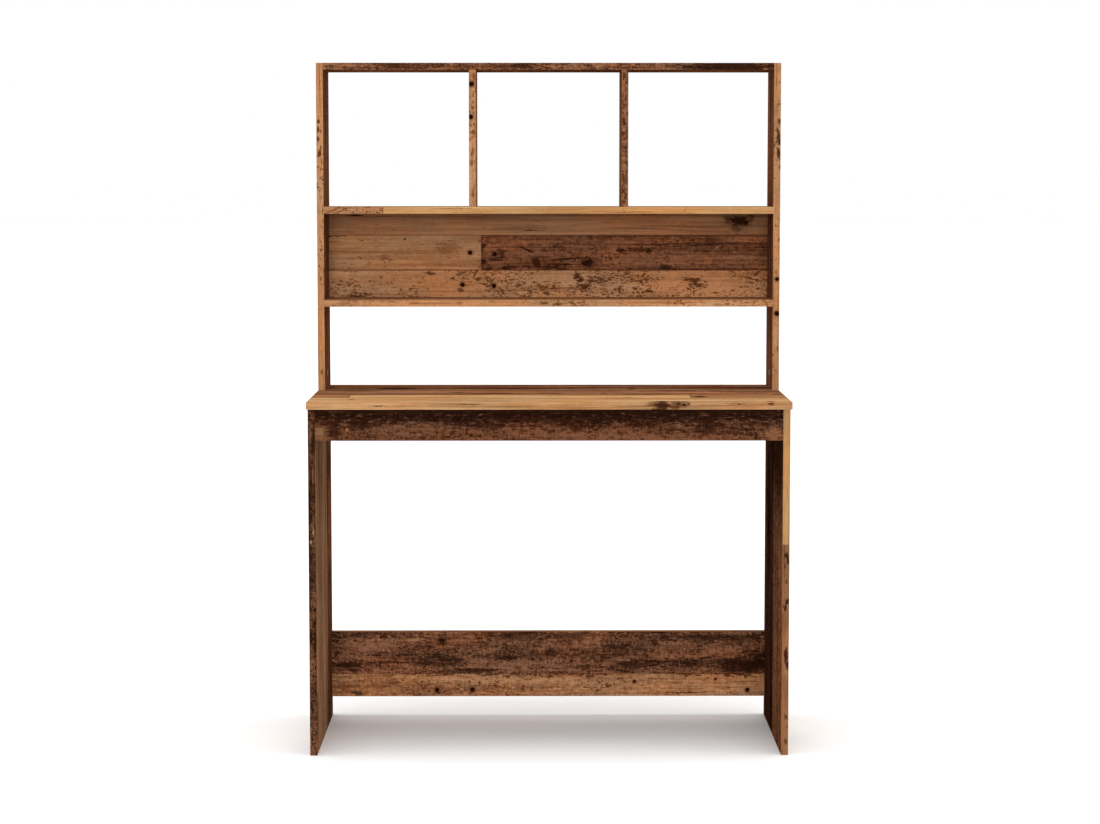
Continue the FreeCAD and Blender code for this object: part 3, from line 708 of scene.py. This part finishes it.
# %% Apron and stretcher
PITCH, TAR, RUBBED, SCUFFED = "#221009", "#1f0f09", "#a0704c", "#9a6845"
CHIPPED = "#b07e55"
print_on("front_apron", "front", [
    plank("scorched", 13.0),
    plank("brown", 14.0, along=(-WIDE, -0.475), across=(-WIDE, 0.704), face="front"),
], front=[
    smudge_at(0.0, 0.748, 2.00, 0.036, 0.92, PITCH), smudge_at(0.0, 0.722, 0.90, 0.012, 0.60, TAR),
    *each(smudge_at, SOOT, (-0.455, 0.698, 0.018, 0.026), (-0.400, 0.710, 0.050, 0.012),
          (-0.150, 0.708, 0.080, 0.008, 0.7), (0.060, 0.709, 0.060, 0.010, 0.7),
          (0.338, 0.709, 0.036, 0.018), (0.200, 0.711, 0.050, 0.009, 0.7),
          (0.440, 0.712, 0.050, 0.006, 0.6)),
    smudge_at(-0.427, 0.698, 0.004, 0.004, 0.7, RUBBED),
    smudge_at(0.474, 0.690, 0.022, 0.014, 0.5, SCUFFED),
])
print_on("front_apron_edging", "front", [plank("scorched", 13.0)])
print_on("rear_stretcher", "front", [
    plank("mottled", 15.0),
    plank("worn tan", 16.0, across=(-WIDE, 0.098)),
    plank("brown", 16.4, across=(0.110, WIDE), face="rear"),
], both=[
    nail(-0.255, 0.059), nail(-0.174, 0.060), nail(0.456, 0.059), nail(0.197, 0.079, 0.004),
    nail(0.383, 0.084, 0.003),
], front=[
    knot_at(-0.243, 0.174, 0.012, 0.010),
    *each(smudge_at, SOOT, (-0.460, 0.117, 0.040, 0.009, 0.85), (-0.446, 0.105, 0.020, 0.006),
          (-0.171, 0.105, 0.075, 0.006, 0.85), (-0.060, 0.184, 0.080, 0.013, 0.6),
          (0.006, 0.147, 0.016, 0.013, 0.6), (-0.439, 0.052, 0.016, 0.006)),
    smudge_at(-0.305, 0.176, 0.026, 0.004, 0.6, CHIPPED),
    *each(smudge_at, SOOT, (-0.356, 0.078, 0.018, 0.010, 0.4), (0.049, 0.184, 0.060, 0.012, 0.65),
          (0.192, 0.117, 0.045, 0.013, 0.7), (0.242, 0.170, 0.011, 0.013, 0.85),
          (0.376, 0.180, 0.120, 0.011, 0.7), (0.438, 0.114, 0.062, 0.017, 0.65)),
    split_at(0.313, 0.053, 0.055), smudge_at(0.117, 0.142, 0.070, 0.016, 0.4),
])
print_on("rear_stretcher_edging", "front", [plank("brown", 16.5)])

# %% [markdown]
# Base sides. The inner faces are dark in the photograph, brown on the left and nearly black on the right,
# and their dark planks are partly print and partly painted shade; the black stain high on the right one is
# painted shade under the worktop. The outer faces don't show there, so they get a mix of the same planks.
# The front
# edges are strips of their own: dark on the left, and on the right honey above a stained brown.

# %% Base sides
WINE, UNDER_TOP_SHADE = "#3a1410", "#1d0d07"
print_on("left_base_side", "upright", [
    plank("streaky brown", 17.0),
    plank("russet", 18.0, across=(0.100, WIDE)),
    plank("russet", 18.2, across=(-WIDE, -0.078), face="left"),
    plank("straw", 18.4, across=(-0.078, 0.026), face="left"),
    plank("wormy tan", 18.5, along=(0.520, WIDE), across=(-0.078, 0.026), face="left"),
    plank("mottled", 18.6, across=(0.026, 0.128), face="left"),
    plank("tan", 18.8, across=(0.128, WIDE), face="left"),
], right=[
    *each(smudge_at, SOOT, (0.590, 0.170, 0.060, 0.030, 0.75), (0.330, 0.165, 0.040, 0.025, 0.7),
          (0.080, -0.165, 0.070, 0.030, 0.6)),
    smudge_at(0.690, -0.190, 0.040, 0.020, 0.7, WINE),
    *each(smudge_at, SOOT, (0.480, 0.060, 0.180, 0.008, 0.5), (0.250, -0.040, 0.200, 0.006, 0.5),
          (0.600, -0.090, 0.120, 0.006, 0.5), (0.150, 0.090, 0.150, 0.008, 0.45)),
], left=[
    nail(0.055, -0.135), nail(0.700, -0.020), nail(0.052, 0.070), nail(0.505, -0.045),
    knot_at(0.300, -0.030, 0.022, 0.010, 0.85), knot_at(0.610, 0.175, 0.020, 0.009, 0.85),
])
print_on("right_base_side", "upright", [
    plank("worn brown", 20.0),
    # dusk shows only on the inner face, rear half: part print, part painted shade
    plank("dusk", 22.0, across=(0.019, WIDE)),
    plank("tan", 22.2, across=(-WIDE, -0.083), face="right"),
    plank("mottled", 22.4, across=(-0.083, 0.020), face="right"),
    plank("russet", 22.5, along=(-WIDE, 0.395), across=(-0.083, 0.020), face="right"),
    plank("honey", 22.6, across=(0.020, 0.124), face="right"),
    plank("brown", 22.8, across=(0.124, WIDE), face="right"),
], left=[
    # painted shade under the worktop: a soft black stain over the upper part of the inner face
    smudge_at(0.680, -0.080, 0.200, 0.200, 0.85, UNDER_TOP_SHADE),
], right=[
    nail(0.060, -0.135), nail(0.690, -0.030), nail(0.378, -0.032), nail(0.410, -0.034),
    knot_at(0.250, 0.075, 0.024, 0.010, 0.85), knot_at(0.590, -0.130, 0.020, 0.009, 0.85),
    nail(0.056, 0.170),
])
SHADE, SAWN, SCUFF, OLD_RED, BLOOM = "#2c160e", "#b98a5e", "#7d5a44", "#35140e", "#4a2513"
print_on("left_base_side_edging", "post", [plank("mossy", 23.0)], strip=[
    *each(smudge_at, SHADE, (0.625, -0.502, 0.135, 0.040, 0.50), (0.390, -0.503, 0.060, 0.040, 0.45),
          (0.129, -0.502, 0.058, 0.040, 0.45)),
    smudge_at(0.255, -0.506, 0.020, 0.004, 0.7), smudge_at(0.690, -0.505, 0.018, 0.003, 0.6, SCUFF),
    smudge_at(0.600, -0.500, 0.030, 0.002, 0.6, SCUFF), smudge_at(0.458, -0.505, 0.006, 0.003, 0.6, SAWN),
    smudge_at(0.480, -0.500, 0.010, 0.002, 0.6, SAWN),
])
print_on("right_base_side_edging", "post", [
    plank("brown", 25.0), plank("sawn honey", 26.7, along=(0.452, WIDE)),
], strip=[
    *each(smudge_at, SOOT, (0.430, 0.504, 0.009, 0.005, 0.9), (0.418, 0.507, 0.008, 0.004, 0.9),
          (0.408, 0.501, 0.006, 0.002, 0.6), (0.374, 0.503, 0.005, 0.003, 0.6),
          (0.331, 0.506, 0.008, 0.005, 0.95), (0.318, 0.502, 0.010, 0.004, 0.95)),
    smudge_at(0.290, 0.504, 0.030, 0.010, 0.3, BLOOM),
    smudge_at(0.214, 0.504, 0.020, 0.006, 0.95, OLD_RED),
    smudge_at(0.196, 0.507, 0.014, 0.004, 0.95, OLD_RED),
    smudge_at(0.150, 0.502, 0.040, 0.010, 0.3, BLOOM), smudge_at(0.083, 0.503, 0.007, 0.003, 0.6),
    smudge_at(0.030, 0.505, 0.008, 0.004, 0.6),
])

# %% [markdown]
# Hutch sides. Dark planks face inwards and lighter ones outwards: the russet on the inner faces is partly
# print and partly painted shade of the hutch's inside. Their front edges draw the frame of the hutch:
# straw, with small bites near the top and two nail holes low on the right.

# %% Hutch sides
print_on("left_hutch_side", "upright", [
    # russet left bare on the inner face: part print, part painted shade
    plank("russet", 33.6),
    plank("tan", 31.0, across=(-WIDE, 0.152), face="left"),
    plank("mottled", 31.5, along=(1.130, WIDE), across=(-WIDE, 0.152), face="left"),
    plank("brown", 32.0, across=(0.152, WIDE), face="left"),
], left=[nail(1.105, 0.112), nail(0.800, 0.188), knot_at(0.930, 0.115, 0.020, 0.009, 0.85)])
print_on("right_hutch_side", "upright", [
    # russet left bare on the inner face: part print, part painted shade
    plank("russet", 33.0),
    plank("mottled", 34.0, across=(-WIDE, 0.148), face="right"),
    plank("straw", 34.5, along=(-WIDE, 1.060), across=(-WIDE, 0.148), face="right"),
    plank("tan", 35.0, across=(0.148, WIDE), face="right"),
], right=[nail(1.030, 0.110), nail(1.440, 0.186), knot_at(1.250, 0.190, 0.022, 0.010, 0.85)])
BITE = "#43210f"
print_on("left_hutch_side_edging", "post", [plank("straw", 36.4)], strip=[
    *each(smudge_at, BITE, (1.352, -0.505, 0.007, 0.004, 0.9), (1.336, -0.506, 0.008, 0.003, 0.9),
          (1.330, -0.501, 0.004, 0.003, 0.7), (1.313, -0.506, 0.007, 0.004, 0.9),
          (1.296, -0.500, 0.006, 0.002, 0.7), (1.282, -0.503, 0.010, 0.004, 0.9),
          (0.800, -0.502, 0.006, 0.004, 0.6)),
])
print_on("right_hutch_side_edging", "post", [plank("straw", 37.0)], strip=[
    *each(smudge_at, BITE, (1.440, 0.500, 0.014, 0.002, 0.5), (1.352, 0.506, 0.010, 0.004, 0.9),
          (1.336, 0.503, 0.005, 0.002, 0.7), (1.318, 0.506, 0.016, 0.005, 0.95),
          (1.304, 0.503, 0.005, 0.003, 0.6), (1.280, 0.506, 0.016, 0.005, 0.95),
          (1.124, 0.500, 0.004, 0.002, 0.8), (1.022, 0.502, 0.006, 0.003, 0.6)),
    nail(1.006, 0.504, 0.005), nail(0.930, 0.504, 0.006),
])

# %% [markdown]
# Dividers. Their faces are seen from far aside only, so two planks each are enough. The front edges differ
# on purpose: straw with two nail holes on the left one, and worn brown on the right one.

# %% Dividers
print_on("left_divider", "upright", [plank("tan", 50.0), plank("brown", 50.5, across=(0.150, WIDE))])
print_on("left_divider_edging", "post", [plank("wormy straw", 51.0)], strip=[
    nail(1.434, -0.169, 0.006), nail(1.362, -0.171, 0.006),
    *each(smudge_at, BITE, (1.285, -0.167, 0.012, 0.004, 0.6), (1.262, -0.169, 0.008, 0.005, 0.6),
          (1.195, -0.167, 0.010, 0.004, 0.7), (1.410, -0.166, 0.006, 0.003, 0.6)),
])
print_on("right_divider", "upright", [plank("mottled", 52.0), plank("brown", 52.5, across=(0.150, WIDE))])
print_on("right_divider_edging", "post", [plank("worn brown", 53.0)], strip=[
    *each(smudge_at, SOOT, (1.452, 0.166, 0.010, 0.004, 0.6), (1.405, 0.170, 0.016, 0.003, 0.6),
          (1.350, 0.165, 0.012, 0.004, 0.6), (1.290, 0.169, 0.020, 0.003, 0.6),
          (1.225, 0.166, 0.014, 0.004, 0.6), (1.185, 0.169, 0.010, 0.004, 0.6)),
])

# %% [markdown]
# Top and shelves. Their faces show little in the photograph, but their front edges do: worn brown at the
# top and darkest at its right end, honey on the upper shelf with a few reddish strokes at its left end,
# and bitten straw on the lower shelf.

# %% Top and shelves
DARK_END = "#26130c"
print_on("hutch_top", "flat", [
    plank("mottled", 40.0), plank("tan", 40.5, across=(0.148, WIDE)), plank("russet", 41.0, face="under"),
], top=[nail(-0.36, 0.110), nail(0.28, 0.190), knot_at(0.05, 0.185, 0.022, 0.010, 0.85)])
print_on("hutch_top_edging", "front", [plank("worn brown", 42.0)], strip=[
    *each(smudge_at, SOOT, (-0.350, 1.475, 0.045, 0.006, 0.75), (-0.290, 1.469, 0.050, 0.004, 0.6),
          (-0.210, 1.473, 0.030, 0.003, 0.5), (-0.055, 1.474, 0.034, 0.007, 0.85),
          (-0.110, 1.472, 0.030, 0.005, 0.5), (0.087, 1.474, 0.010, 0.005, 0.7),
          (0.160, 1.470, 0.050, 0.003, 0.5)),
    smudge_at(0.395, 1.473, 0.125, 0.030, 0.92, DARK_END),
])
print_on("upper_shelf", "flat", [
    plank("honey", 43.0), plank("straw", 43.5, across=(0.150, WIDE)), plank("brown", 44.0, face="under"),
], top=[nail(0.33, 0.115), knot_at(-0.28, 0.185, 0.034, 0.012)])
STROKE, LINE = "#7c4426", "#8a5730"
print_on("upper_shelf_edging", "front", [
    plank("pale honey", 45.0), plank("straw", 45.5, along=(-WIDE, -0.364)),
], strip=[
    split_at(-0.474, 1.158, 0.022, 0.0022, 0.45, STROKE),
    split_at(-0.452, 1.158, 0.022, 0.0022, 0.4, STROKE),
    split_at(0.300, 1.158, 0.008, 0.0012, 1.2, STROKE),
    split_at(0.180, 1.153, 0.060, 0.0012, 0.02, LINE), split_at(-0.200, 1.161, 0.070, 0.0012, -0.01, LINE),
])
print_on("lower_shelf", "flat", [
    plank("tan", 46.0), plank("straw", 46.5, along=(-WIDE, 0.12), across=(0.148, WIDE)),
    plank("brown", 47.0, face="under"),
], top=[nail(0.10, 0.186), nail(0.14, 0.184)])
print_on("lower_shelf_edging", "front", [plank("wormy straw", 48.0)], strip=[
    *each(smudge_at, BITE, (-0.010, 0.953, 0.012, 0.005, 0.7), (0.022, 0.951, 0.012, 0.004, 0.7),
          (0.048, 0.954, 0.010, 0.004, 0.6), (-0.297, 0.953, 0.014, 0.004, 0.4),
          (-0.197, 0.952, 0.010, 0.004, 0.5), (-0.452, 0.953, 0.012, 0.003, 0.4)),
])

# %% [markdown]
# Metal fittings. The cams are die-cast zinc, dull grey and slightly grainy. Bolts and screws are
# zinc-plated steel, brighter and smoother. Both are a metal whose colour drifts a little and whose fine
# grain moves the roughness and the bump together, as a cast or plated skin does, so one group serves both.

# %% Metal fittings
HAZE = (160.0, 160.0, 160.0)
ROUGH_SWING = 0.2
metal_skin, given, handed = effect(
    "metal_skin",
    {"Place": "Vector", "Bright": "Color", "Dull": "Color", "Rough": "Float", "Grain": "Float"},
    {"Colour": "Color", "Roughness": "Float", "Height": "Float"},
)
grains = joined(metal_skin, given["Grain"], given["Grain"], given["Grain"])
skin = noise(metal_skin, given["Place"], grains, detail=4.0, roughness=0.6)
colour = blend(metal_skin, noise(metal_skin, given["Place"], HAZE), given["Dull"], given["Bright"])
rougher = number(metal_skin, "ADD", given["Rough"], ROUGH_SWING)
roughness = ramp(metal_skin, skin, start=0.2, end=0.8, low=given["Rough"], high=rougher)
for label, value in (("Colour", colour), ("Roughness", roughness), ("Height", skin)):
    metal_skin.links.new(value, handed[label])


def metal(name, bright, dull, rough, grain):
    material, tree, point = new_finish(name)
    wires = {"Place": point, "Bright": tone(bright), "Dull": tone(dull), "Rough": rough, "Grain": grain}
    skin = place_effect(tree, metal_skin, wires)
    shader = end_in(tree, skin["Colour"], skin["Roughness"], skin["Height"], strength=0.3, depth=0.0002)
    shader["Metallic"].default_value = 1.0
    return material


cam_zinc = metal("cam_zinc", "#747370", "#525150", rough=0.45, grain=1400.0)
screw_zinc = metal("screw_zinc", "#c9c9c5", "#a4a59f", rough=0.22, grain=2200.0)
for node in pieces:
    if node.endswith("_cam"):
        dress(node, cam_zinc)
for node in ("cam_bolts", "through_bolts", "divider_screws"):
    dress(node, screw_zinc)

# %% [markdown]
# Dowels. They are beech, pale and dense, with short dark rays. They lie in three directions and hardly
# show, so a noise that is the same in all directions does for fibre and rays alike.

# %% Dowels
FIBRE, RAYS = (420.0, 420.0, 420.0), (900.0, 900.0, 900.0)
BEECH_DEEP, BEECH_PALE, RAY_BROWN = "#c39a6d", "#e2c197", "#8e633f"
dowel_beech, tree, point = new_finish("dowel_beech")
fibre = noise(tree, point, FIBRE, detail=4.0, roughness=0.65)
rays = ramp(tree, noise(tree, point, RAYS, detail=1.0), start=0.62, end=0.72, low=0.0, high=0.5)
colour = blend(tree, rays, blend(tree, fibre, tone(BEECH_DEEP), tone(BEECH_PALE)), tone(RAY_BROWN))
roughness = ramp(tree, fibre, start=0.2, end=0.8, low=0.6, high=0.75)
shader = end_in(tree, colour, roughness, fibre, strength=0.3, depth=0.0003)
shader["Specular IOR Level"].default_value = 0.2
dress("dowels", dowel_beech)

# %% [markdown]
# Floor. The photograph shows the desk on white. The floor is white where the camera sees it and grey for
# the light that bounces off it, so that it doesn't fill the shadows. The world does the same behind it.

# %% Floor
WHITE, GREY = (1.0, 1.0, 1.0, 1.0), (0.55, 0.55, 0.55, 1.0)
SKY_LEVEL = 0.40
FLOOR_SIZE = 120.0


def white_for_camera(tree):
    path = add(tree, "ShaderNodeLightPath").outputs
    seen = number(tree, "MAXIMUM", path["Is Camera Ray"], path["Is Glossy Ray"])
    return number(tree, "MAXIMUM", seen, path["Is Transmission Ray"])


bpy.ops.mesh.primitive_plane_add(size=FLOOR_SIZE)
floor = bpy.context.object
floor.name = "floor"
paper = bpy.data.materials.new("floor_paper")
paper.use_nodes = True
tree = paper.node_tree
shader = tree.nodes["Principled BSDF"].inputs
tree.links.new(blend(tree, white_for_camera(tree), GREY, WHITE), shader["Base Color"])
shader["Roughness"].default_value = 1.0
shader["Specular IOR Level"].default_value = 0.0
floor.data.materials.append(paper)

world = bpy.data.worlds.new("studio")
bpy.context.scene.world = world
world.use_nodes = True
tree = world.node_tree
backdrop = tree.nodes["Background"].inputs
tree.links.new(choose(tree, white_for_camera(tree), SKY_LEVEL, 1.0), backdrop["Strength"])
backdrop["Color"].default_value = WHITE
print("floor of", round(floor.dimensions.x), "metres, world level", SKY_LEVEL)

# %% [markdown]
# Light. The photograph has very soft light from the front. A sun with a wide disc is an even, soft lamp: it
# has no falloff, so the floor stays white to the horizon. The lamps at the sides and the rear are there for
# the other views. Each has a level, a bearing round the desk, a height and the width of its disc, in
# degrees.

# %% Light
LAMPS = {
    "front_softbox": (0.72, 0.0, 3.0, 24.0),
    "right_softbox": (0.40, 90.0, 20.0, 50.0),
    "rear_softbox": (0.45, 180.0, 20.0, 50.0),
    "left_softbox": (0.40, 270.0, 20.0, 50.0),
    "top_softbox": (0.42, 0.0, 78.0, 50.0),
}
for name, (level, bearing, height, spread) in LAMPS.items():
    lamp = bpy.data.lights.new(name, "SUN")
    lamp.energy = level * math.pi
    lamp.angle = math.radians(spread)
    made = bpy.data.objects.new(name, lamp)
    made.rotation_euler = (math.radians(90.0 - height), 0.0, math.radians(bearing))
    bpy.context.scene.collection.objects.link(made)
print("lamps:", ", ".join(LAMPS))
